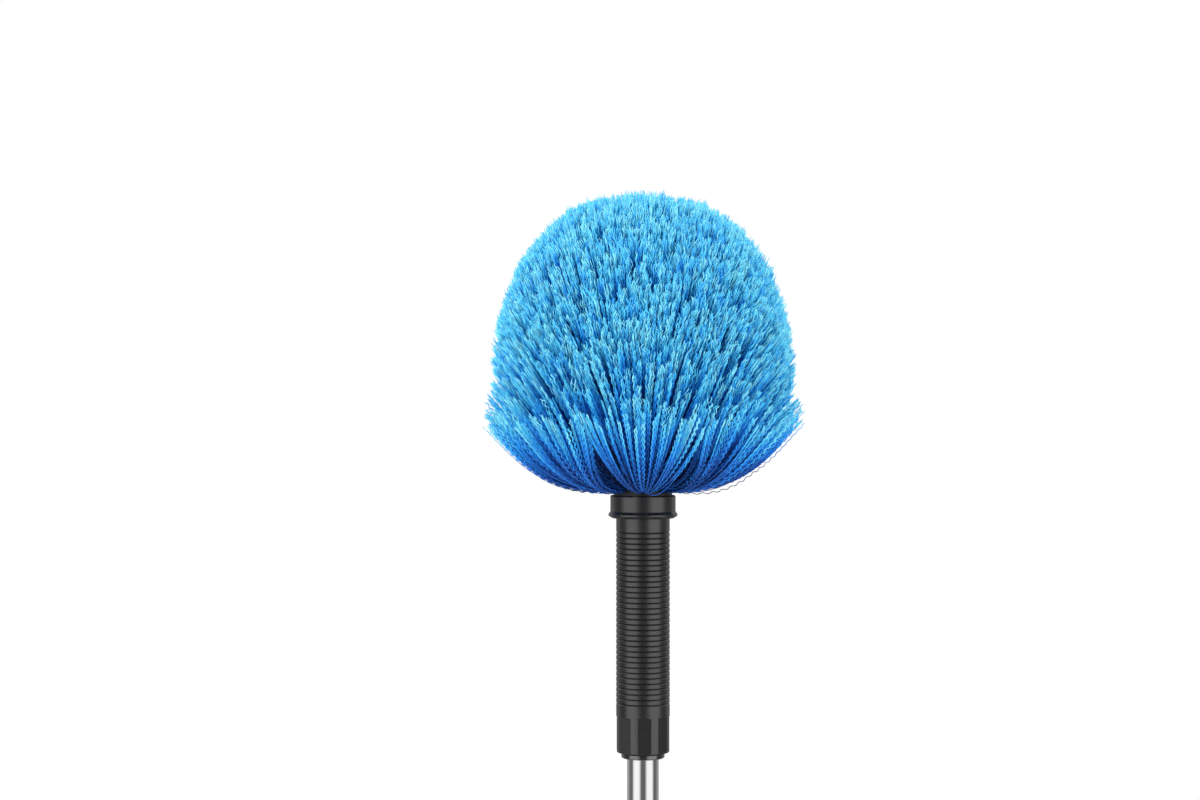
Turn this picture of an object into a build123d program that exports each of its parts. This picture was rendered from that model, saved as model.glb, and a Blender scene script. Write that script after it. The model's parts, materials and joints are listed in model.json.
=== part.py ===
# Domed duster on a six-section telescopic pole.
#
# Millimetres, +Z up the pole. The origin is on the pole's axis at the lowest point of the end cap.
# The pole is drawn partly drawn out, with its collars evenly spaced.

import os
from math import atan, cos, degrees, radians, sin

from build123d import *

os.makedirs("parts", exist_ok=True)

# ---- driving dimensions ----

# pole
SECTIONS = 6
TUBE_LENGTH = 470.0
TUBE_OD = 25.5  # the lowest and widest tube
TUBE_STEP = 1.5  # each tube is this much narrower than the one it slides in
TUBE_WALL = 0.4
PITCH = 100.0  # from one tube's end to the next one's, as drawn

# end cap and grip
TONGUE_THICKNESS = 13.0
TONGUE_WIDTH = 25.0
HANG_HOLE_R = 4.5
HANG_HOLE_Z = 12.5
CAP_SHOULDER_Z = 22.0
CAP_SHOULDER_R = 15.6
TUBE_1_Z = 27.0  # the lower end of tube 1
CAP_PLUG_LENGTH = 24.0
GRIP_LENGTH = 190.0
GRIP_END_R = 15.3
GRIP_BELLY = 1.1
GRIP_RIB_PITCH = 3.4
GRIP_RIB_DEPTH = 0.55
GRIP_RIBS = 6
GRIP_RIB_INSET = 10.0

# collars
COLLAR_LENGTH = 48.0
COLLAR_LIP = 5.0  # the part that stands above the tube's end
COLLAR_TOP_R = 15.1
COLLAR_FOOT_R = 15.75
COLLAR_BEAD_R = 16.05
COLLAR_BEAD_HEIGHT = 3.2
LIP_GAP = 0.30  # between the lip and the tube that slides in it

# twist locks
PLUG_LENGTH = 20.0
PLUG_FLANGE = 2.5
CAM_OFFSET = 0.12  # of the pin's axis from the tube's
CAM_PIN_R = 4.5
CAM_PIN_LENGTH = 12.5
CAM_HEAD_R = 5.4
CAM_HEAD_HEIGHT = 2.0
CAM_PIN_GAP = 0.05
CAM_RING_GAP = 0.20  # between the ring and the tube it jams in
CAM_END_GAP = 0.30
CAM_SLOT = 1.6

# threaded tip
TIP_PLUG_LENGTH = 30.0
TIP_FLANGE_R = 12.4
TIP_FLANGE_HEIGHT = 3.0
TIP_LENGTH = 28.0
TIP_CORE_R = 9.4
TIP_TAPER = 1.8  # how much narrower the tip's radius is at its top
THREAD_PITCH = 5.0
THREAD_TURNS = 4
THREAD_DEPTH = 1.1
THREAD_SINK = 0.3  # how deep the thread's foot is set into the stem
THREAD_START = 3.5
THREAD_FOOT = 2.6
THREAD_CREST = 0.7

# head
HANDLE_GAP = 0.3
HANDLE_R = 15.4
HANDLE_WALL = 3.2
SOCKET_END = 25.6  # the smooth lower end, below the ribs
SOCKET_END_BEVEL = 0.6
SOCKET_FLAT = 14.92  # from the axis to each flat
SOCKET_FLAT_LENGTH = 20.8  # the flats stop short of the ribs
SOCKET_FLATS = 8
SOCKET_FLAT_TURN = 25.0  # brings the middle of a flat to the front
SOCKET_CLEARANCE = 0.35
RIB_COUNT = 33
RIB_PITCH = 3.066
RIB_GROOVE = 1.0
RIB_DEPTH = 0.5
PLAIN_BAND = 7.6
SPIGOT_R = 14.0
SPIGOT_LENGTH = 7.0
WASHER_R = 12.6
WASHER_BORE_R = 11.0
WASHER_THICKNESS = 2.0
LIP_R = 19.85
LIP_HEIGHT = 2.3
CUP_R = 18.75
CUP_HEIGHT = 10.8
CUP_BORE_R = 16.9
TUFT_HOLE_R = 2.0
TUFT_HOLE_DEPTH = 5.0
STAPLE_R = 0.35
STAPLE_BITE = 0.6  # how far each end of a staple is driven into the block

# brush: the dome that the filament tips make, above the cup's rim
RIM_R = 93.5
RIM_Z = 48.0
SHOULDER_R = 83.0
SHOULDER_Z = 108.0
CROWN_R = 50.0
CROWN_Z = 155.0
DOME_Z = 173.0
TUFT_ROOT_GAP = 0.4

# ---- levels and radii worked out from them ----

TUBE_TOP_6 = TUBE_1_Z + TUBE_LENGTH + (SECTIONS - 1) * PITCH
TIP_Z = TUBE_TOP_6 + TIP_FLANGE_HEIGHT
HANDLE_Z = TIP_Z + HANDLE_GAP
RIBS_Z = HANDLE_Z + SOCKET_END
LIP_Z = RIBS_Z + RIB_COUNT * RIB_PITCH + PLAIN_BAND
CUP_Z = LIP_Z + LIP_HEIGHT
BRUSH_Z = CUP_Z + CUP_HEIGHT


def tube_radius(k):
    """Outer radius of tube k, counted from 1 at the grip."""
    return (TUBE_OD - (k - 1) * TUBE_STEP) / 2


def tube_bottom(k):
    return TUBE_1_Z + (k - 1) * PITCH


def tube_top(k):
    return tube_bottom(k) + TUBE_LENGTH


def save(part, name):
    part.label = name
    export_step(part, f"parts/{name}.step")
    print(f"{name}: {part.volume / 1000:.2f} cm3")


# ---- pole tubes ----

for k in range(1, SECTIONS + 1):
    with BuildPart() as tube:
        with BuildSketch(Plane.XY.offset(tube_bottom(k))):
            Circle(tube_radius(k))
            Circle(tube_radius(k) - TUBE_WALL, mode=Mode.SUBTRACT)
        extrude(amount=TUBE_LENGTH)
    save(tube.part, f"tube_{k}")

# ---- end cap: a plug in tube 1, with a shoulder and a tongue with a hanging hole ----

with BuildPart() as end_cap:
    with BuildSketch(Plane.XZ):
        with BuildLine():
            Line((-TONGUE_WIDTH / 2, CAP_SHOULDER_Z), (-TONGUE_WIDTH / 2, TONGUE_WIDTH / 2))
            ThreePointArc(
                (-TONGUE_WIDTH / 2, TONGUE_WIDTH / 2), (0, 0), (TONGUE_WIDTH / 2, TONGUE_WIDTH / 2)
            )
            Line((TONGUE_WIDTH / 2, TONGUE_WIDTH / 2), (TONGUE_WIDTH / 2, CAP_SHOULDER_Z))
            Line((TONGUE_WIDTH / 2, CAP_SHOULDER_Z), (-TONGUE_WIDTH / 2, CAP_SHOULDER_Z))
        make_face()
    extrude(amount=TONGUE_THICKNESS / 2, both=True)
    fillet(end_cap.edges().filter_by(GeomType.CIRCLE), radius=2.5)
    with BuildSketch(Plane.XY.offset(CAP_SHOULDER_Z)):
        Circle(CAP_SHOULDER_R)
    extrude(amount=TUBE_1_Z - CAP_SHOULDER_Z)
    shoulder = end_cap.edges().filter_by(GeomType.CIRCLE).filter_by_position(
        Axis.Z, CAP_SHOULDER_Z - 0.1, CAP_SHOULDER_Z + 0.1
    )
    fillet(shoulder.sort_by(SortBy.RADIUS)[-1], radius=1.5)
    with BuildSketch(Plane.XY.offset(TUBE_1_Z)):
        Circle(tube_radius(1) - TUBE_WALL)
    extrude(amount=CAP_PLUG_LENGTH)
    chamfer(end_cap.edges().sort_by(Axis.Z)[-1], length=1.0)
    with BuildSketch(Plane.XZ):
        with Locations((0, HANG_HOLE_Z)):
            Circle(HANG_HOLE_R)
    extrude(amount=TONGUE_THICKNESS, both=True, mode=Mode.SUBTRACT)
save(end_cap.part, "end_cap")

# ---- grip: a slightly barrelled sleeve on tube 1, with ribs near both ends ----

GRIP_TOP_Z = TUBE_1_Z + GRIP_LENGTH
with BuildPart() as grip_sleeve:
    with BuildSketch(Plane.XZ):
        with BuildLine():
            ThreePointArc(
                (GRIP_END_R, TUBE_1_Z),
                (GRIP_END_R + GRIP_BELLY, TUBE_1_Z + GRIP_LENGTH / 2),
                (GRIP_END_R, GRIP_TOP_Z),
            )
            Line((GRIP_END_R, GRIP_TOP_Z), (tube_radius(1), GRIP_TOP_Z))
            Line((tube_radius(1), GRIP_TOP_Z), (tube_radius(1), TUBE_1_Z))
            Line((tube_radius(1), TUBE_1_Z), (GRIP_END_R, TUBE_1_Z))
        make_face()
    revolve(axis=Axis.Z)
    fillet(grip_sleeve.edges().filter_by(GeomType.CIRCLE).sort_by(SortBy.RADIUS)[-2:], radius=1.2)
    with BuildSketch(Plane.XZ):
        for start in (TUBE_1_Z + GRIP_RIB_INSET, GRIP_TOP_Z - GRIP_RIB_INSET - GRIP_RIBS * GRIP_RIB_PITCH):
            for i in range(GRIP_RIBS):
                with Locations((GRIP_END_R + 0.6, start + (i + 0.5) * GRIP_RIB_PITCH)):
                    Rectangle(2 * GRIP_RIB_DEPTH, GRIP_RIB_PITCH * 0.4)
    revolve(axis=Axis.Z, mode=Mode.SUBTRACT)
save(grip_sleeve.part, "grip_sleeve")

# ---- collars: pressed on each tube's top, with a lip that guides the next tube ----

for k in range(1, SECTIONS):
    foot_z = tube_top(k) + COLLAR_LIP - COLLAR_LENGTH
    top_z = tube_top(k) + COLLAR_LIP
    lip_r = tube_radius(k + 1) + LIP_GAP
    with BuildPart() as collar:
        with BuildSketch(Plane.XZ):
            with BuildLine():
                Polyline(
                    (tube_radius(k), foot_z),
                    (COLLAR_BEAD_R, foot_z),
                    (COLLAR_BEAD_R, foot_z + COLLAR_BEAD_HEIGHT),
                    (COLLAR_FOOT_R, foot_z + COLLAR_BEAD_HEIGHT + 0.6),
                    (COLLAR_TOP_R, top_z),
                    (lip_r, top_z),
                    (lip_r, tube_top(k)),
                    (tube_radius(k), tube_top(k)),
                    close=True,
                )
            make_face()
        revolve(axis=Axis.Z)
        outer = collar.edges().filter_by(GeomType.CIRCLE)
        top_rim = outer.group_by(Axis.Z)[-1].sort_by(SortBy.RADIUS)[-1]
        foot_rim = outer.group_by(Axis.Z)[0].sort_by(SortBy.RADIUS)[-1]
        fillet([top_rim, foot_rim], radius=1.2)
    save(collar.part, f"collar_{k}")

# ---- twist locks: a plug with an eccentric pin in each sliding tube, and a split ring on the pin ----

for k in range(2, SECTIONS + 1):
    end_z = tube_bottom(k)
    pin_top = end_z - PLUG_FLANGE
    pin_end = pin_top - CAM_PIN_LENGTH
    with BuildPart() as cam_plug:
        with BuildSketch(Plane.XY.offset(end_z)):
            Circle(tube_radius(k) - TUBE_WALL)
        extrude(amount=PLUG_LENGTH)
        chamfer(cam_plug.edges().sort_by(Axis.Z)[-1], length=0.8)
        with BuildSketch(Plane.XY.offset(end_z)):
            Circle(tube_radius(k))
        extrude(amount=-PLUG_FLANGE)
        with BuildSketch(Plane.XY.offset(pin_top)):
            with Locations((CAM_OFFSET, 0)):
                Circle(CAM_PIN_R)
        extrude(amount=-CAM_PIN_LENGTH)
        with BuildSketch(Plane.XY.offset(pin_end)):
            with Locations((CAM_OFFSET, 0)):
                Circle(CAM_HEAD_R)
        extrude(amount=-CAM_HEAD_HEIGHT)
        chamfer(cam_plug.edges().sort_by(Axis.Z)[0], length=0.6)
    save(cam_plug.part, f"cam_plug_{k}")

    ring_top = pin_top - CAM_END_GAP
    ring_height = CAM_PIN_LENGTH - 2 * CAM_END_GAP
    with BuildPart() as cam_ring:
        with BuildSketch(Plane.XY.offset(ring_top)):
            Circle(tube_radius(k - 1) - TUBE_WALL - CAM_RING_GAP)
            with Locations((CAM_OFFSET, 0)):
                Circle(CAM_PIN_R + CAM_PIN_GAP, mode=Mode.SUBTRACT)
            with Locations((-tube_radius(k - 1) / 2, 0)):
                Rectangle(tube_radius(k - 1), CAM_SLOT, mode=Mode.SUBTRACT)
        extrude(amount=-ring_height)
    save(cam_ring.part, f"cam_ring_{k}")

# ---- threaded tip: a plug in tube 6, a flange, and a tapered stem with a coarse thread ----

TIP_TOP_R = TIP_CORE_R - TIP_TAPER
with BuildPart() as threaded_tip:
    with BuildSketch(Plane.XZ):
        with BuildLine():
            Polyline(
                (0, TUBE_TOP_6 - TIP_PLUG_LENGTH),
                (tube_radius(6) - TUBE_WALL - 1, TUBE_TOP_6 - TIP_PLUG_LENGTH),
                (tube_radius(6) - TUBE_WALL, TUBE_TOP_6 - TIP_PLUG_LENGTH + 1),
                (tube_radius(6) - TUBE_WALL, TUBE_TOP_6),
                (TIP_FLANGE_R - 0.5, TUBE_TOP_6),
                (TIP_FLANGE_R, TUBE_TOP_6 + 0.5),
                (TIP_FLANGE_R, TIP_Z - 0.5),
                (TIP_FLANGE_R - 0.5, TIP_Z),
                (TIP_CORE_R, TIP_Z),
                (TIP_TOP_R + 0.1, TIP_Z + TIP_LENGTH - 1.5),
                (TIP_TOP_R - 1.4, TIP_Z + TIP_LENGTH),
                (0, TIP_Z + TIP_LENGTH),
                close=True,
            )
        make_face()
    revolve(axis=Axis.Z)
    thread_path = Helix(
        pitch=THREAD_PITCH,
        height=THREAD_PITCH * THREAD_TURNS,
        radius=TIP_CORE_R - THREAD_SINK,
        center=(0, 0, TIP_Z + THREAD_START),
        cone_angle=-degrees(atan(TIP_TAPER / TIP_LENGTH)),
        mode=Mode.PRIVATE,
    )
    start = thread_path @ 0
    with BuildSketch(Plane(origin=start, x_dir=(start.X, start.Y, 0), z_dir=thread_path % 0)):
        with BuildLine():
            Polyline(
                (0, -THREAD_FOOT / 2),
                (THREAD_DEPTH + THREAD_SINK, -THREAD_CREST / 2),
                (THREAD_DEPTH + THREAD_SINK, THREAD_CREST / 2),
                (0, THREAD_FOOT / 2),
                close=True,
            )
        make_face()
    sweep(path=thread_path, is_frenet=True)
save(threaded_tip.part, "threaded_tip")

# ---- washer in the mouth of the handle's socket ----

WASHER_Z = TIP_Z + HANDLE_GAP
with BuildPart() as seat_washer:
    with BuildSketch(Plane.XY.offset(WASHER_Z)):
        Circle(WASHER_R)
        Circle(WASHER_BORE_R, mode=Mode.SUBTRACT)
    extrude(amount=WASHER_THICKNESS)
save(seat_washer.part, "seat_washer")

# ---- handle: ribbed tube with a faceted socket end ----

RECESS_Z = WASHER_Z + WASHER_THICKNESS + HANDLE_GAP
RECESS_R = WASHER_R + HANDLE_GAP
SOCKET_R = TIP_CORE_R + THREAD_DEPTH + SOCKET_CLEARANCE
SOCKET_TOP_R = SOCKET_R - TIP_TAPER
SOCKET_TOP_Z = TIP_Z + TIP_LENGTH + 2
BORE_R = HANDLE_R - HANDLE_WALL
BORE_Z = SOCKET_TOP_Z + 4
with BuildPart() as head_handle:
    with BuildSketch(Plane.XZ):
        with BuildLine():
            outline = [(RECESS_R, HANDLE_Z), (HANDLE_R - SOCKET_END_BEVEL, HANDLE_Z)]
            outline += [(HANDLE_R, HANDLE_Z + SOCKET_END_BEVEL), (HANDLE_R, RIBS_Z)]
            for i in range(RIB_COUNT):
                rib_z = RIBS_Z + i * RIB_PITCH
                outline += [
                    (HANDLE_R, rib_z + RIB_PITCH - RIB_GROOVE),
                    (HANDLE_R - RIB_DEPTH, rib_z + RIB_PITCH - RIB_GROOVE / 2),
                    (HANDLE_R, rib_z + RIB_PITCH),
                ]
            outline += [(HANDLE_R, LIP_Z), (SPIGOT_R, LIP_Z), (SPIGOT_R, LIP_Z + SPIGOT_LENGTH)]
            outline += [(BORE_R - 2, LIP_Z + SPIGOT_LENGTH), (BORE_R - 2, LIP_Z), (BORE_R, LIP_Z - 2)]
            outline += [(BORE_R, BORE_Z + 2), (SOCKET_TOP_R, BORE_Z), (SOCKET_TOP_R, SOCKET_TOP_Z)]
            outline += [(SOCKET_R, RECESS_Z), (RECESS_R, RECESS_Z)]
            Polyline(*outline, close=True)
        make_face()
    revolve(axis=Axis.Z)
    with BuildSketch(Plane.XY.offset(HANDLE_Z)):
        Circle(HANDLE_R + 1)
        RegularPolygon(
            SOCKET_FLAT,
            SOCKET_FLATS,
            major_radius=False,
            rotation=SOCKET_FLAT_TURN,
            mode=Mode.SUBTRACT,
        )
    extrude(amount=SOCKET_FLAT_LENGTH, mode=Mode.SUBTRACT)
save(head_handle.part, "head_handle")

# ---- cup that grips the brush block, with a flared lip ----

with BuildPart() as brush_cup:
    with BuildSketch(Plane.XZ):
        with BuildLine():
            spigot_top = LIP_Z + SPIGOT_LENGTH
            Polyline(
                (SPIGOT_R, LIP_Z),
                (LIP_R - 2.2, LIP_Z),
                (LIP_R, LIP_Z + LIP_HEIGHT * 0.6),
                (LIP_R, CUP_Z),
                (CUP_R, CUP_Z + 1.6),
                (CUP_R, BRUSH_Z),
                (CUP_BORE_R, BRUSH_Z),
                (CUP_BORE_R, spigot_top),
                (SPIGOT_R, spigot_top),
                close=True,
            )
        make_face()
    revolve(axis=Axis.Z)
    rims = brush_cup.edges().filter_by(GeomType.CIRCLE).group_by(Axis.Z)
    fillet(rims[-1].sort_by(SortBy.RADIUS)[-1], radius=0.8)
save(brush_cup.part, "brush_cup")

# ---- filaments: how one lies, from the block to the dome of tips ----

DOME = Spline(
    (RIM_R, RIM_Z), (SHOULDER_R, SHOULDER_Z), (CROWN_R, CROWN_Z), (0, DOME_Z),
    tangents=((-0.1, 1), (-1, 0)),
)


def filament(rank):
    """Root, middle control point and tip of a filament, as (radius, height above the cup's rim).
    Rank 0 is the middle of the brush and 1 is its outermost ring."""
    root_angle = radians(88 * rank)
    root_r = (CUP_BORE_R + TUFT_ROOT_GAP) * sin(root_angle)
    root_z = (CUP_BORE_R + TUFT_ROOT_GAP) * cos(root_angle)
    tip = DOME @ (1 - rank)
    reach = 0.55 * (Vector(tip.X - root_r, tip.Y - root_z).length)
    lean = radians(86 * rank)
    return (root_r, root_z), (root_r + reach * sin(lean), root_z + reach * cos(lean)), (tip.X, tip.Y)


def petals(inner_rank, outer_rank, count, share, turn):
    """A ring of tufts between two ranks of filament. Share is how much of the ring they fill."""
    arc = 360 / count * share
    inner = filament(inner_rank)
    outer = filament(outer_rank)
    with BuildPart() as ring:
        with BuildSketch(Plane.XZ):
            with BuildLine():
                Bezier(*inner)
                Line(inner[2], outer[2])
                Bezier(*reversed(outer))
                Line(outer[0], inner[0])
            make_face()
        petal = revolve(axis=Axis.Z, revolution_arc=arc, mode=Mode.PRIVATE)
        for i in range(count):
            add(petal.rotate(Axis.Z, turn + i * 360 / count - arc / 2))
    return ring.part.moved(Location((0, 0, BRUSH_Z)))


# name, inner and outer rank, tufts, share of the ring filled, first tuft's angle, lean of its hole
TUFT_RINGS = (
    ("bristles_outer", 0.86, 1.00, 8, 0.45, -90.0, 78.0),
    ("bristles_middle", 0.60, 0.78, 8, 0.32, -67.5, 56.0),
    ("bristles_inner", 0.30, 0.50, 6, 0.28, 0.0, 36.0),
    ("bristles_crown", 0.03, 0.20, 3, 0.40, 30.0, 16.0),
)
for name, inner_rank, outer_rank, count, share, turn, lean in TUFT_RINGS:
    save(petals(inner_rank, outer_rank, count, share, turn), name)

# ---- brush block: a domed core with a hole for each tuft, and the wire staples in the holes ----

tuft_planes = []
for name, inner_rank, outer_rank, count, share, turn, lean in TUFT_RINGS:
    for i in range(count):
        out = Vector(0, 0, 1).rotate(Axis.Y, lean).rotate(Axis.Z, turn + i * 360 / count)
        across = Vector(0, 1, 0).rotate(Axis.Z, turn + i * 360 / count)
        seat = Vector(0, 0, BRUSH_Z) + out * CUP_BORE_R
        tuft_planes.append(Plane(origin=seat, x_dir=across, z_dir=out))

with BuildPart() as brush_block:
    with BuildSketch(Plane.XZ):
        with BuildLine():
            block_z = LIP_Z + SPIGOT_LENGTH
            Line((0, block_z), (CUP_BORE_R, block_z))
            Line((CUP_BORE_R, block_z), (CUP_BORE_R, BRUSH_Z))
            CenterArc((0, BRUSH_Z), CUP_BORE_R, 0, 90)
            Line((0, BRUSH_Z + CUP_BORE_R), (0, block_z))
        make_face()
    revolve(axis=Axis.Z)
    for plane in tuft_planes:
        with BuildSketch(plane.offset(1)):
            Circle(TUFT_HOLE_R)
        extrude(amount=-TUFT_HOLE_DEPTH - 1, mode=Mode.SUBTRACT)
save(brush_block.part, "brush_block")

with BuildPart() as tuft_staples:
    for plane in tuft_planes:
        staple_plane = Plane(origin=plane.offset(1 - TUFT_HOLE_DEPTH).origin, z_dir=plane.x_dir)
        with BuildSketch(staple_plane):
            Circle(STAPLE_R)
        extrude(amount=TUFT_HOLE_R + STAPLE_BITE, both=True)
save(tuft_staples.part, "tuft_staples")

print(f"overall height {BRUSH_Z + DOME_Z:.1f} mm, handle from {HANDLE_Z:.1f}, brush from {BRUSH_Z:.1f}")
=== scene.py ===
import json
import math

import bpy
import numpy as np
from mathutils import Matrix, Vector


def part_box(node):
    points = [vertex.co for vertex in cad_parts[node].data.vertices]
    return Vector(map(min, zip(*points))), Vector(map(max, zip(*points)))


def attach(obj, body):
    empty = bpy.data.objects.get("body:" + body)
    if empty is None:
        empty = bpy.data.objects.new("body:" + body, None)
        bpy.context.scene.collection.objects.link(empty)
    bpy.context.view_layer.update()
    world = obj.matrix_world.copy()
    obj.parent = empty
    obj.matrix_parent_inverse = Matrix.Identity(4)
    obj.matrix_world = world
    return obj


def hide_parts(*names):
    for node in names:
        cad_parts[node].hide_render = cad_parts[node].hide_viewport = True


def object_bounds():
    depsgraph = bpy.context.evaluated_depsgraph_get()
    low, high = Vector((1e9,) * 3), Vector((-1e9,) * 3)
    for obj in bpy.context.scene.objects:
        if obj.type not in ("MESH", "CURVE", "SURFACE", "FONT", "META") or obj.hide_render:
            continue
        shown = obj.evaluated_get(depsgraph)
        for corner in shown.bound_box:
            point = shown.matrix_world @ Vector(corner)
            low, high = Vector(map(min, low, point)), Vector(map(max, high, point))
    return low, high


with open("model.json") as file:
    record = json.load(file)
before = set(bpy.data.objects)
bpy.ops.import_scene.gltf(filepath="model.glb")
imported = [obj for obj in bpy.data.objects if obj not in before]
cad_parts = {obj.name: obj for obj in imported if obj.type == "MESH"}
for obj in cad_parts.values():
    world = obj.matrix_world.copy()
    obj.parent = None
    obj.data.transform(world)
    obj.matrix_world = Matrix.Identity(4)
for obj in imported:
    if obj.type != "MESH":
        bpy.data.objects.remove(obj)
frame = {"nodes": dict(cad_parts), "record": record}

cad_low, cad_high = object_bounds()

MM = 0.001
HEAD = "head"

# ---- places, read from the frame ----

crown_low, crown_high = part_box("bristles_crown")
cup_low, cup_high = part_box("brush_cup")
block_low, block_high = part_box("brush_block")

BASE_Z = cup_high[2]      # the cup's rim, where the filaments leave it
TOP_Z = crown_high[2]     # the highest filament tip
BLOCK_R = (block_high[0] - block_low[0]) / 2

# ---- camera: level with the brush, straight on ----

VIEW_DISTANCE = 1.3
VIEW_WIDTH = 0.690        # how much of the pole's plane the frame spans
VIEW_UP = 0.0547          # the middle of the frame, above the cup's rim
VIEW_LEFT = 0.0247        # the middle of the frame, left of the pole
SENSOR = 36.0


def add_camera():
    camera = bpy.data.objects.new("camera", bpy.data.cameras.new("camera"))
    bpy.context.collection.objects.link(camera)
    camera.data.sensor_width = SENSOR
    camera.data.lens = SENSOR * VIEW_DISTANCE / VIEW_WIDTH
    camera.data.clip_start = 0.05
    camera.data.clip_end = 60
    camera.location = (-VIEW_LEFT, -VIEW_DISTANCE, BASE_Z + VIEW_UP)
    camera.rotation_euler = (math.radians(90), 0, 0)
    bpy.context.scene.camera = camera


# ---- node helpers ----


def new_material(name):
    material = bpy.data.materials.new(name)
    material.use_nodes = True
    shader = material.node_tree.nodes["Principled BSDF"]
    return material, material.node_tree, shader


def node(tree, kind, **values):
    """A new node. Each value goes to the input of that name, or else to the property."""
    made = tree.nodes.new(kind)
    for name, value in values.items():
        if name in made.inputs:
            made.inputs[name].default_value = value
        else:
            setattr(made, name, value)
    return made


def noise(tree, scale, detail=3.0, stretch=(1, 1, 1)):
    """Noise in object coordinates, stretched along each axis."""
    place = node(tree, "ShaderNodeTexCoord")
    mapping = node(tree, "ShaderNodeMapping")
    mapping.inputs["Scale"].default_value = stretch
    pattern = node(tree, "ShaderNodeTexNoise", Scale=scale, Detail=detail)
    tree.links.new(place.outputs["Object"], mapping.inputs["Vector"])
    tree.links.new(mapping.outputs["Vector"], pattern.inputs["Vector"])
    return pattern.outputs["Fac"]


def grey(value):
    return (value, value, value, 1)


def stops(tree, source, places):
    """A colour that follows a table of places, from 0 to 1, and colours."""
    made = node(tree, "ShaderNodeValToRGB")
    elements = made.color_ramp.elements
    while len(elements) < len(places):
        elements.new(0.5)
    for element, (place, colour) in zip(elements, places):
        element.position = place
        element.color = colour
    tree.links.new(source, made.inputs["Fac"])
    return made.outputs["Color"]


def ramp(tree, source, low, high):
    """A colour or grey that goes from low to high over the range that most of a noise lies in."""
    return stops(tree, source, ((0.3, low), (0.7, high)))


def bump(tree, shader, height, strength, distance):
    made = node(tree, "ShaderNodeBump", Strength=strength, Distance=distance)
    tree.links.new(height, made.inputs["Height"])
    tree.links.new(made.outputs["Normal"], shader.inputs["Normal"])


# ---- materials of the hard parts ----


def polished_steel():
    """Drawn stainless tube: bright, with faint draw lines along it and a slightly uneven polish."""
    material, tree, shader = new_material("stainless_tube")
    shader.inputs["Metallic"].default_value = 1
    lines = noise(tree, 420, 2, (1, 1, 0.004))
    smear = noise(tree, 30, 3, (1, 1, 0.2))
    tint = ramp(tree, smear, (0.60, 0.60, 0.61, 1), (0.70, 0.70, 0.70, 1))
    tree.links.new(tint, shader.inputs["Base Color"])
    tree.links.new(ramp(tree, lines, grey(0.10), grey(0.20)), shader.inputs["Roughness"])
    bump(tree, shader, lines, 0.05, 0.00005)
    return material


def black_plastic(name, shade, rough_low, rough_high, grain, grain_strength, ior):
    """Moulded black plastic: faint mottling, and a fine grain that breaks up its shine. A high IOR stands
    for a polished mould."""
    material, tree, shader = new_material(name)
    mottle = noise(tree, 60, 3)
    fine = noise(tree, grain, 2)
    tree.links.new(ramp(tree, mottle, grey(shade * 0.8), grey(shade * 1.2)), shader.inputs["Base Color"])
    tree.links.new(ramp(tree, fine, grey(rough_low), grey(rough_high)), shader.inputs["Roughness"])
    shader.inputs["IOR"].default_value = ior
    bump(tree, shader, fine, grain_strength, 0.0001)
    return material


def rubber():
    material, tree, shader = new_material("washer_rubber")
    fine = noise(tree, 900, 2)
    tree.links.new(ramp(tree, fine, grey(0.02), grey(0.035)), shader.inputs["Base Color"])
    shader.inputs["Roughness"].default_value = 0.8
    return material


def tinted_plastic(name, low, high):
    material, tree, shader = new_material(name)
    mottle = noise(tree, 80, 3)
    tree.links.new(ramp(tree, mottle, low, high), shader.inputs["Base Color"])
    shader.inputs["Roughness"].default_value = 0.45
    return material


def staple_wire():
    material, tree, shader = new_material("staple_wire")
    shader.inputs["Metallic"].default_value = 1
    tree.links.new(ramp(tree, noise(tree, 500), grey(0.5), grey(0.65)), shader.inputs["Base Color"])
    shader.inputs["Roughness"].default_value = 0.35
    return material


def dress_frame():
    """Each CAD node that stays in view gets its material, by its record slot."""
    by_slot = {
        "steel_tube": polished_steel(),
        "black_gloss": black_plastic("gloss_black", 0.002, 0.08, 0.14, 700, 0.04, 2.20),
        "black_satin": black_plastic("satin_black", 0.006, 0.23, 0.33, 1400, 0.08, 1.70),
        "plug_plastic": tinted_plastic("plug_plastic", grey(0.05), grey(0.08)),
        "ring_plastic": tinted_plastic("ring_plastic", (0.62, 0.62, 0.58, 1), (0.72, 0.72, 0.68, 1)),
        "block_plastic": tinted_plastic("block_plastic", grey(0.006), grey(0.010)),
        "rubber": rubber(),
        "steel_wire": staple_wire(),
    }
    for part in frame["record"]["subparts"]:
        if part["material_slot"] in by_slot:
            for material_slot in frame["nodes"][part["node"]].material_slots:
                material_slot.material = by_slot[part["material_slot"]]


# ---- filament colours: a few unmixed shades of blue. Darker towards the roots is painted shade deep in the brush, and the pale tips are painted light ----

FILAMENT_SHADES = (
    ("filament_navy", (0.002, 0.018, 0.100)),
    ("filament_deep", (0.005, 0.055, 0.280)),
    ("filament_royal", (0.008, 0.112, 0.500)),
    ("filament_blue", (0.012, 0.235, 0.800)),
    ("filament_azure", (0.028, 0.410, 0.960)),
    ("filament_sky", (0.090, 0.620, 0.950)),
    ("filament_pale", (0.240, 0.800, 0.970)),
)
# painted shade and light: the shade's number along a filament, at these millimetres from the tip, these
# numbers
PAINTED_SHADING_FROM_TIP = (0, 5, 11, 22, 40, 60, 90), (5.5, 5.1, 4.5, 3.7, 2.2, 1.5, 0.6)


def filament_materials():
    made = []
    for name, colour in FILAMENT_SHADES:
        material, _, shader = new_material(name)
        shader.inputs["Base Color"].default_value = (*colour, 1)
        shader.inputs["Roughness"].default_value = 0.42
        shader.inputs["Specular IOR Level"].default_value = 0.35
        made.append(material)
    return made


# ---- filaments ----

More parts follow.
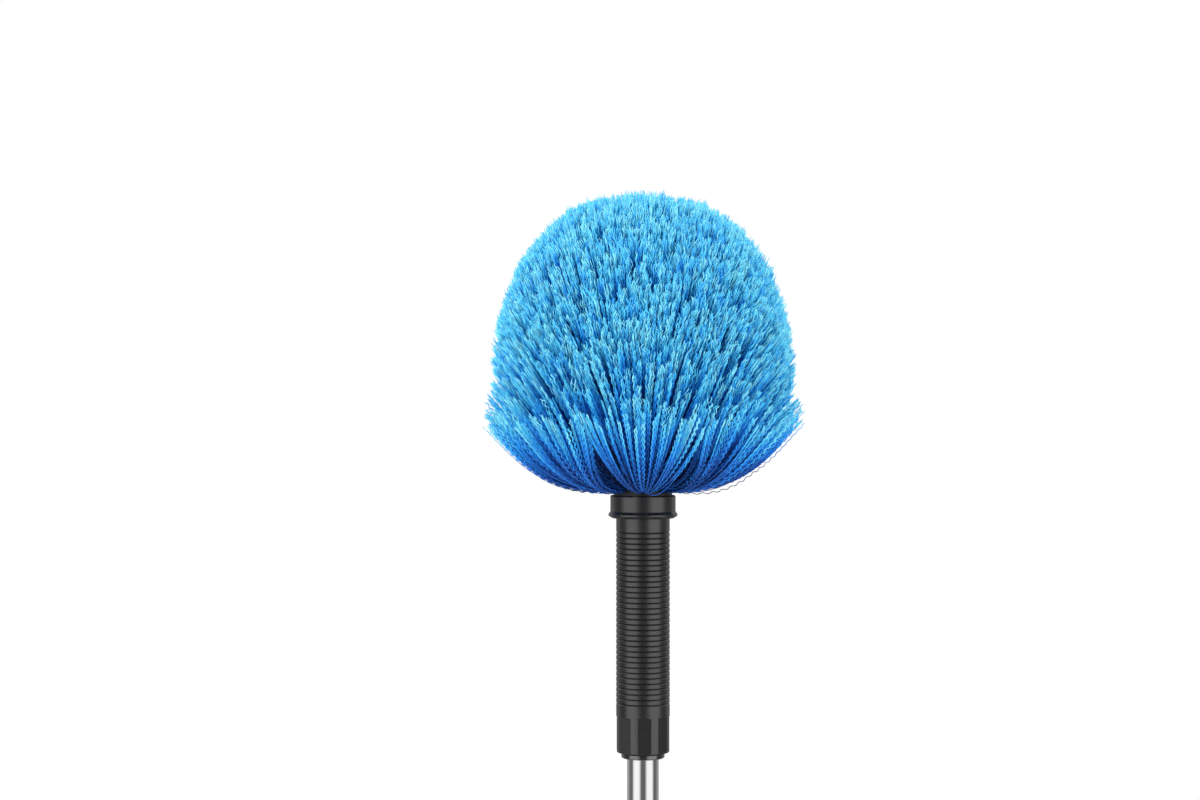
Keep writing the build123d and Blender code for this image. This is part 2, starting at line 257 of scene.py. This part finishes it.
DOME_R = 87.5 * MM        # the body of the dome, just inside the flared rim
DOME_FOOT = 50 * MM       # the height of the dome's foot above the cup's rim
DOME_POWER = 2.4          # 2 is an ellipse, more is squarer
HOLE_R = 1.9 * MM         # the block's holes
HOLE_WALL = 0.3 * MM      # room left between a hole's wall and its locks
ROOT_DEPTH = 3.0 * MM     # how far below the block's surface the filaments start
ROOT_SCATTER = 0.3 * MM   # of the filaments of a lock, in the hole
SEAT_AIMED = 0.6          # how far a lock's place in its hole follows its aim, as a share of the hole
SEAT_LOOSE = 0.3          # and how far it strays from there
RISE_SLACK = 0.05         # radians, added to half the height of a layer
FILAMENT_R = 0.29 * MM
TIP_TAPER = 0.6           # the radius at the very tip, as a share
CRIMP_LENGTH = 4.8 * MM
CRIMP = 0.50 * MM
CRIMP_START = 6 * MM      # the crimp grows to its full height over this length
CRIMP_CENTRE = -60 * MM   # on the pole's axis: the crimps wave across the directions from here
TIP_CENTRE = 20 * MM      # on the pole's axis: the tips stand away from here
TIP_SCATTER = 0.7 * MM    # how much the filaments of a lock differ in length
TUFT_OVERLAP = 1.04       # how wide a tuft fans out, as a share of its own part of the ring
LOW_SLACK = 1.5           # degrees that tips may fall below their layer

# How much locks and filaments vary: shares from and to, or a typical deviation.
DROOP_RANGE = (0.5, 1.4)
WAVE_RANGE = (0.92, 1.08)
CRIMP_RANGE = (0.7, 1.2)
THICKNESS_RANGE = (0.85, 1.15)
CRIMP_PLANE = 0.6         # radians, from lock to lock
CRIMP_PHASE = 0.35        # radians, within a lock
SHADE_BY_LOCK = 0.5       # steps in the list of shades, from lock to lock
SHADE_IN_LOCK = 0.35      # the same, within a lock

# How a filament leaves its hole and meets its tip. One that leans far from the pole's axis also bows.
FAN_START = 0.5           # how much of a filament's turn away from its hole it makes at once
BOW_FROM = 33             # degrees from the axis where the bow begins
BOW_RANGE = 25            # degrees from there to the full bow
BOW_MAX = 1.1
BOW_FIRST = math.radians(25)
BOW_LAST = math.radians(16)
FIRST_REACH = 0.33        # the curve's handles, as shares of its length
FIRST_REACH_BOWED = 0.17
LAST_REACH = 0.30
SAG_RUN = 42 * MM         # how far out of the cup a droop lasts


def dome_point(angle):
    """Radius, and height above the cup's rim, of the dome of tips at a height angle in radians."""
    cosine = np.clip(np.cos(angle), 0, 1) ** (2 / DOME_POWER)
    sine = np.sign(angle) * np.clip(np.abs(np.sin(angle)), 0, 1) ** (2 / DOME_POWER)
    height = TOP_Z - BASE_Z - DOME_FOOT
    return DOME_R * cosine, DOME_FOOT + height * sine


def tip_angles(random, count, low, high):
    """Height angles spread evenly over the dome's surface between two limits in degrees."""
    steps = np.radians(np.linspace(low, high, 200))
    radius, height = dome_point(steps)
    stretch = np.hypot(np.diff(radius), np.diff(height)) * (radius[1:] + radius[:-1]) / 2
    share = np.concatenate(([0], np.cumsum(stretch)))
    return np.interp(random.random(count) * share[-1], share, steps)


def cubic(points, along):
    """Points of cubic curves. Along has one row of parameters for all of them."""
    t = along[None, :, None]
    a, b, c, d = (p[:, None] for p in points)
    return a * (1 - t) ** 3 + b * 3 * t * (1 - t) ** 2 + c * 3 * t**2 * (1 - t) + d * t**3


def unit(vectors):
    return vectors / (np.linalg.norm(vectors, axis=-1, keepdims=True) + 1e-12)


def leaning(azimuth, lean):
    """Unit vectors at an azimuth, leaning away from the pole's axis by an angle. Both in radians."""
    return np.stack([np.sin(lean) * np.cos(azimuth), np.sin(lean) * np.sin(azimuth), np.cos(lean)], -1)


def centre_lines(roots, tips, hole, along, sag):
    """The filaments leave the block along their hole and lower than straight towards their tips, the more
    so the lower their tips are, and then fan out and rise. Sag is how far each one droops outside the cup."""
    chord = tips - roots
    length = np.linalg.norm(chord, axis=1)
    azimuth = np.arctan2(chord[:, 1], chord[:, 0])
    slope = np.arccos(np.clip(chord[:, 2] / length, -1, 1))
    bow = np.clip((np.degrees(slope) - BOW_FROM) / BOW_RANGE, 0, BOW_MAX) ** 2
    aside = (azimuth - hole + np.pi) % (2 * np.pi) - np.pi
    first_reach = (length * (FIRST_REACH + FIRST_REACH_BOWED * bow))[:, None]
    first = leaning(hole + aside * FAN_START, slope + BOW_FIRST * bow) * first_reach
    last = leaning(azimuth, slope - BOW_LAST * bow) * (length * LAST_REACH)[:, None]
    lines = cubic((roots, roots + first, tips - last, tips), along)
    run = along[None, :] * length[:, None]
    lines[:, :, 2] -= sag[:, None] * np.sin(np.pi * np.clip(run / SAG_RUN, 0, 1))
    return lines, run


def crimped(lines, run, turn, phase, wave, height):
    """Adds a wave across each centre line, and gives two directions across it."""
    tangent = unit(np.gradient(lines, axis=1))
    outward = unit(lines - np.array([0, 0, CRIMP_CENTRE]))
    side = unit(np.cross(tangent, outward))
    over = np.cross(side, tangent)
    way = side * np.cos(turn)[:, None, None] + over * np.sin(turn)[:, None, None]
    swing = np.sin(2 * np.pi * run / wave[:, None] + phase[:, None]) * np.minimum(1, run / CRIMP_START)
    return lines + way * (swing * height[:, None])[:, :, None], side, over


def tube_mesh(name, lines, side, over, radius, shades, materials, random):
    """One closed three-sided tube along each line, as one mesh. Radius has a value for each point of a
    line, and shades a material number for each stretch between two points."""
    count, points = lines.shape[:2]
    roll = random.uniform(0, 2 * np.pi, (count, 1, 1))
    corners = []
    for i in range(3):
        angle = roll + i * 2 * np.pi / 3
        corners.append(lines + (side * np.cos(angle) + over * np.sin(angle)) * radius[:, :, None])
    vertices = np.stack(corners, 2).reshape(-1, 3)
    start = (np.arange(count) * points * 3)[:, None, None]
    here = start + (np.arange(points - 1) * 3)[None, :, None]
    this = np.arange(3)[None, None, :]
    following = (this + 1) % 3
    quads = np.stack([here + this, here + following, here + 3 + following, here + 3 + this], 3)
    foot = start[:, :, 0] + np.array([2, 1, 0])
    head = start[:, :, 0] + (points - 1) * 3 + np.array([0, 1, 2])
    loops = np.concatenate([quads.ravel(), foot.ravel(), head.ravel()])
    sizes = np.concatenate([np.full(count * (points - 1) * 3, 4), np.full(2 * count, 3)])
    starts = np.concatenate(([0], np.cumsum(sizes)[:-1]))
    numbers = np.concatenate([np.repeat(shades.ravel(), 3), shades[:, 0], shades[:, -1]])
    mesh = bpy.data.meshes.new(name)
    mesh.vertices.add(len(vertices))
    mesh.vertices.foreach_set("co", vertices.ravel().astype(np.float32))
    mesh.loops.add(len(loops))
    mesh.loops.foreach_set("vertex_index", loops.astype(np.int32))
    mesh.polygons.add(len(sizes))
    mesh.polygons.foreach_set("loop_start", starts.astype(np.int32))
    mesh.polygons.foreach_set("material_index", numbers.astype(np.int32))
    mesh.polygons.foreach_set("use_smooth", np.ones(len(sizes), bool))
    for material in materials:
        mesh.materials.append(material)
    mesh.update(calc_edges=True)
    mesh.validate()
    piece = bpy.data.objects.new(name, mesh)
    bpy.context.collection.objects.link(piece)
    return piece


def lock_tips(random, locks, azimuth, width, low, high, soft, ragged, reach):
    """For each lock of a tuft: which way it aims across the tuft, from -0.5 to 0.5, its height angle, its
    tip, and the direction in which the tip stands."""
    aim = (np.arange(locks) + random.random(locks)) / locks - 0.5
    random.shuffle(aim)
    turn = np.radians(azimuth + aim * width * TUFT_OVERLAP)
    height = tip_angles(random, locks, low, high)
    height = height + np.radians(random.normal(0, soft, locks))
    height = np.clip(height, np.radians(low - LOW_SLACK), np.pi / 2)
    dome_r, dome_z = dome_point(height)
    tips = np.stack([dome_r * np.cos(turn), dome_r * np.sin(turn), dome_z], 1)
    out = unit(tips - np.array([0, 0, TIP_CENTRE]))
    tips = tips + out * (reach + random.normal(0, ragged, locks) - ragged)[:, None]
    return aim, height, tips, out


def filament_tips(random, tips, out, lock, loose):
    """The filaments of a lock end side by side, scattered round the lock's own tip."""
    across = unit(np.cross(out, np.array([0, 0, 1.0])))
    up = np.cross(across, out)
    spread = random.normal(0, loose, (len(lock), 2))
    tips = tips[lock] + across[lock] * spread[:, :1] + up[lock] * spread[:, 1:]
    return tips + out[lock] * random.normal(0, TIP_SCATTER, len(lock))[:, None]


def filament_roots(random, lock, aim, height, azimuth, hole_lean, low, high):
    """Each lock starts on the side of its tuft's hole that it aims at, so that the locks do not cross."""
    hole = np.radians(azimuth)
    axis = leaning(hole, np.radians(hole_lean))
    hole_side = np.array([-np.sin(hole), np.cos(hole), 0])
    hole_up = -np.cross(axis, hole_side)
    middle = (np.radians(low) + np.radians(high)) / 2
    rise = np.clip((height - middle) / (np.radians(high - low) / 2 + RISE_SLACK), -1, 1)
    seat = np.stack([2 * aim, rise], 1) * SEAT_AIMED
    seat = seat + random.uniform(-SEAT_LOOSE, SEAT_LOOSE, (len(aim), 2))
    seat = seat / np.maximum(1, np.linalg.norm(seat, axis=1, keepdims=True))
    scatter = random.uniform(-ROOT_SCATTER, ROOT_SCATTER, (len(lock), 2))
    seat = seat[lock] * (HOLE_R - HOLE_WALL) + scatter
    return axis * (BLOCK_R - ROOT_DEPTH) + hole_side * seat[:, :1] + hole_up * seat[:, 1:]


def tuft(name, node_name, random, locks, per_lock, azimuth, width, hole_lean, low, high, along, wave,
         materials, soft=3.0, ragged=1.5 * MM, loose=0.9 * MM, sag=0.0, crimp=CRIMP, shade=0.0, reach=0.0):
    """One layer of a tuft: locks of filaments from one hole of the block, which fan out over a share of
    the dome. The filaments of a lock lie side by side and share their crimp."""
    lock = np.repeat(np.arange(locks), per_lock)
    count = len(lock)
    aim, height, ends, out = lock_tips(random, locks, azimuth, width, low, high, soft, ragged, reach)
    tips = filament_tips(random, ends, out, lock, loose)
    roots = filament_roots(random, lock, aim, height, azimuth, hole_lean, low, high)

    droop = sag * random.uniform(*DROOP_RANGE, locks)[lock]
    lines, run = centre_lines(roots, tips, np.radians(azimuth), along, droop)
    plane = random.normal(0, CRIMP_PLANE, locks)[lock]
    phase = random.uniform(0, 2 * np.pi, locks)[lock] + random.normal(0, CRIMP_PHASE, count)
    waves = wave * random.uniform(*WAVE_RANGE, locks)[lock]
    crimps = crimp * random.uniform(*CRIMP_RANGE, count)
    lines, side, over = crimped(lines, run, plane, phase, waves, crimps)
    lines[:, :, 2] += BASE_Z

    # painted shade: a stretch is darker the farther it lies from its tip, deep in the brush, and painted
    # lighter at the tip
    from_tip = run[:, -1:] - (run[:, 1:] + run[:, :-1]) / 2
    pick = random.normal(0, SHADE_BY_LOCK, locks)[lock] + random.normal(0, SHADE_IN_LOCK, count) + shade
    numbers = np.interp(from_tip / MM, *PAINTED_SHADING_FROM_TIP) + pick[:, None]
    numbers = np.clip(np.round(numbers), 0, len(FILAMENT_SHADES) - 1).astype(int)
    thickness = FILAMENT_R * random.uniform(*THICKNESS_RANGE, (count, 1)) * np.ones((1, len(along)))
    thickness[:, -1] *= TIP_TAPER
    piece = tube_mesh(name, lines, side, over, thickness, numbers, materials, random)
    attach(piece, HEAD)
    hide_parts(node_name)


def tip_heavy(coarse, fine, start):
    """Curve parameters: a few long stretches up to start, then shorter ones to the tip."""
    return np.concatenate([np.linspace(0, start, coarse, endpoint=False), np.linspace(start, 1, fine)])


# The layers of filaments: locks in a tuft, filaments in a lock, the lowest and highest height angle on the
# dome in degrees, and the points along a filament. The tips stray from their angle by soft, in degrees.
# They end reach outside the dome, and fall short of that by about ragged. Loose is how wide a lock is at
# its tip, sag is its droop outside the cup, and shade moves it up or down the list of shades.
# painted light: shade moves the rim, low and stray layers a little up the list of shades, lighter on the
# outside of the brush
RIM_LAYER = dict(locks=44, per_lock=3, low=-3.2, high=0.4, along=np.linspace(0, 1, 84), wave=CRIMP_LENGTH,
                 soft=0.8, ragged=1.6 * MM, loose=0.5 * MM, sag=0.2 * MM, reach=3.0 * MM, shade=0.1)
LOW_LAYER = dict(locks=88, per_lock=4, low=0.0, high=12.0, along=np.linspace(0, 1, 54), wave=6.4 * MM,
                 soft=2.0, ragged=1.5 * MM, loose=0.75 * MM, shade=0.1)
STRAY_LAYER = dict(locks=3, per_lock=1, low=-3.4, high=-1.2, along=np.linspace(0, 1, 84), wave=CRIMP_LENGTH,
                   soft=0.5, ragged=1.5 * MM, loose=0.5 * MM, sag=1.5 * MM, reach=5.0 * MM, shade=0.2)
TOP_ALONG = tip_heavy(4, 11, 0.76)
TOP_LAYER = dict(per_lock=5, along=TOP_ALONG, wave=6.8 * MM, crimp=0.62 * MM, ragged=1.1 * MM)

# The rings of tufts: the CAD node that each stands for, how many tufts, the first one's azimuth and its
# hole's lean from the axis in degrees, and its layers.
RINGS = (
    ("bristles_outer", 8, -90.0, 78.0, (
        ("stray", STRAY_LAYER),
        ("rim", RIM_LAYER),
        ("low", LOW_LAYER),
        ("side", dict(TOP_LAYER, locks=130, low=9.0, high=24.0)),
    )),
    ("bristles_middle", 8, -67.5, 56.0, (("middle", dict(TOP_LAYER, locks=270, low=19.0, high=50.0)),)),
    ("bristles_inner", 6, 0.0, 36.0, (("inner", dict(TOP_LAYER, locks=220, low=46.0, high=74.0)),)),
    ("bristles_crown", 3, 30.0, 16.0, (("crown", dict(TOP_LAYER, locks=120, low=70.0, high=90.0)),)),
)


def make_brush():
    materials = filament_materials()
    random = np.random.default_rng(7)
    for node_name, count, first, hole_lean, layers in RINGS:
        width = 360 / count
        for i in range(count):
            for label, layer in layers:
                tuft(f"tuft_{label}_{i + 1}", node_name, random, azimuth=first + i * width, width=width,
                     hole_lean=hole_lean, materials=materials, **layer)


# ---- studio ----

FLOOR_R = 5.0
FLOOR_SIDES = 96
FLOOR_GAP = 0.5 * MM      # between the floor and the pole's end


def add_floor():
    """A large pale disc that the pole's end stands on. The steel mirrors the studio and not the floor."""
    mesh = bpy.data.meshes.new("floor")
    level = cad_low[2] - FLOOR_GAP
    turns = [i * 2 * math.pi / FLOOR_SIDES for i in range(FLOOR_SIDES)]
    corners = [(FLOOR_R * math.cos(turn), FLOOR_R * math.sin(turn), level) for turn in turns]
    mesh.from_pydata(corners, [], [list(range(FLOOR_SIDES))])
    floor = bpy.data.objects.new("floor", mesh)
    bpy.context.collection.objects.link(floor)
    material, _, shader = new_material("floor_white")
    shader.inputs["Base Color"].default_value = (0.93, 0.93, 0.93, 1)
    shader.inputs["Roughness"].default_value = 0.9
    mesh.materials.append(material)
    floor.visible_glossy = False


# azimuth from the front in degrees, and how bright the studio is there
STUDIO_ROUND = ((0, 0.10), (14, 0.10), (31, 1.0), (70, 1.0), (84, 0.12), (112, 0.12), (128, 0.32),
                (142, 0.32), (156, 0.12), (180, 0.12))
# height of the direction, from -1 straight down to 1 straight up, and the share of that brightness
STUDIO_UP = ((-1, 0.9), (-0.35, 1.0), (0.75, 1.0), (0.95, 0.6), (1, 0.6))
STUDIO_STRENGTH = 1.35
SKY_STRENGTH = 1.05       # the soft light from above


def maths(tree, operation, first, second=0.0):
    """One step of arithmetic. Each input is a number or an output of another node."""
    made = node(tree, "ShaderNodeMath", operation=operation)
    for socket, value in zip(made.inputs, (first, second)):
        if isinstance(value, (int, float)):
            socket.default_value = value
        else:
            tree.links.new(value, socket)
    return made.outputs[0]


def add_world():
    """A white backdrop to the eye. What lights the object, and what it mirrors, is a studio with a tall
    soft light at each side of the front, a white backdrop and a soft light above."""
    world = bpy.data.worlds.new("studio")
    bpy.context.scene.world = world
    world.use_nodes = True
    tree = world.node_tree
    place = node(tree, "ShaderNodeTexCoord")
    parts = node(tree, "ShaderNodeSeparateXYZ")
    tree.links.new(place.outputs["Generated"], parts.inputs[0])
    x, y, z = parts.outputs
    azimuth = maths(tree, "ARCTAN2", maths(tree, "ABSOLUTE", x), maths(tree, "MULTIPLY", y, -1.0))
    turn = maths(tree, "DIVIDE", azimuth, math.pi)
    around = stops(tree, turn, [(angle / 180, grey(value)) for angle, value in STUDIO_ROUND])
    height = maths(tree, "MULTIPLY_ADD", z, 0.5)
    height.node.inputs[2].default_value = 0.5
    upward = stops(tree, height, [((level + 1) / 2, grey(value)) for level, value in STUDIO_UP])
    sides = maths(tree, "MULTIPLY", maths(tree, "MULTIPLY", around, upward), STUDIO_STRENGTH)
    # the smooth maximum lets the soft light from above fade out a little below the horizon
    above = maths(tree, "MULTIPLY", maths(tree, "SMOOTH_MAX", z, 0.0), SKY_STRENGTH)
    studio = tree.nodes["Background"]
    tree.links.new(maths(tree, "ADD", sides, above), studio.inputs["Strength"])
    studio.inputs["Color"].default_value = (1, 1, 1, 1)
    backdrop = node(tree, "ShaderNodeBackground", Color=(1, 1, 1, 1), Strength=1.0)
    mix = node(tree, "ShaderNodeMixShader")
    ray = node(tree, "ShaderNodeLightPath")
    tree.links.new(ray.outputs["Is Camera Ray"], mix.inputs["Fac"])
    tree.links.new(studio.outputs[0], mix.inputs[1])
    tree.links.new(backdrop.outputs[0], mix.inputs[2])
    tree.links.new(mix.outputs[0], tree.nodes["World Output"].inputs["Surface"])


# The lamps: x, y and height above the cup's rim of each, and its power. The fill lamps leave no highlights.
KEY_LAMP = (-1.1, -1.5, 1.4, 9)
KEY_SIZE = 0.9
FILL_LAMPS = ((-1.4, -1.2, 0.2, 7.8), (1.4, -1.2, 0.2, 6.6), (-1.4, 1.3, 0.2, 14.0), (1.4, 1.3, 0.2, 14.0))
FILL_SIZE = 1.2
LAMP_AIM = 0.1            # the height that they aim at, above the cup's rim


def add_area(name, placed, size):
    x, y, z, power = placed
    place = Vector((x, y, BASE_Z + z))
    lamp = bpy.data.objects.new(name, bpy.data.lights.new(name, "AREA"))
    bpy.context.collection.objects.link(lamp)
    lamp.data.size = size
    lamp.data.energy = power
    lamp.visible_camera = False
    lamp.location = place
    lamp.rotation_euler = (Vector((0, 0, BASE_Z + LAMP_AIM)) - place).to_track_quat("-Z", "Y").to_euler()
    return lamp


def add_lights():
    add_area("key", KEY_LAMP, KEY_SIZE)
    for i, lamp in enumerate(FILL_LAMPS):
        fill = add_area(f"fill_{i + 1}", lamp, FILL_SIZE)
        fill.visible_glossy = False


def set_colours():
    view = bpy.context.scene.view_settings
    view.view_transform = "Standard"
    view.look = "None"


add_camera()
dress_frame()
make_brush()
add_floor()
add_world()
add_lights()
set_colours()
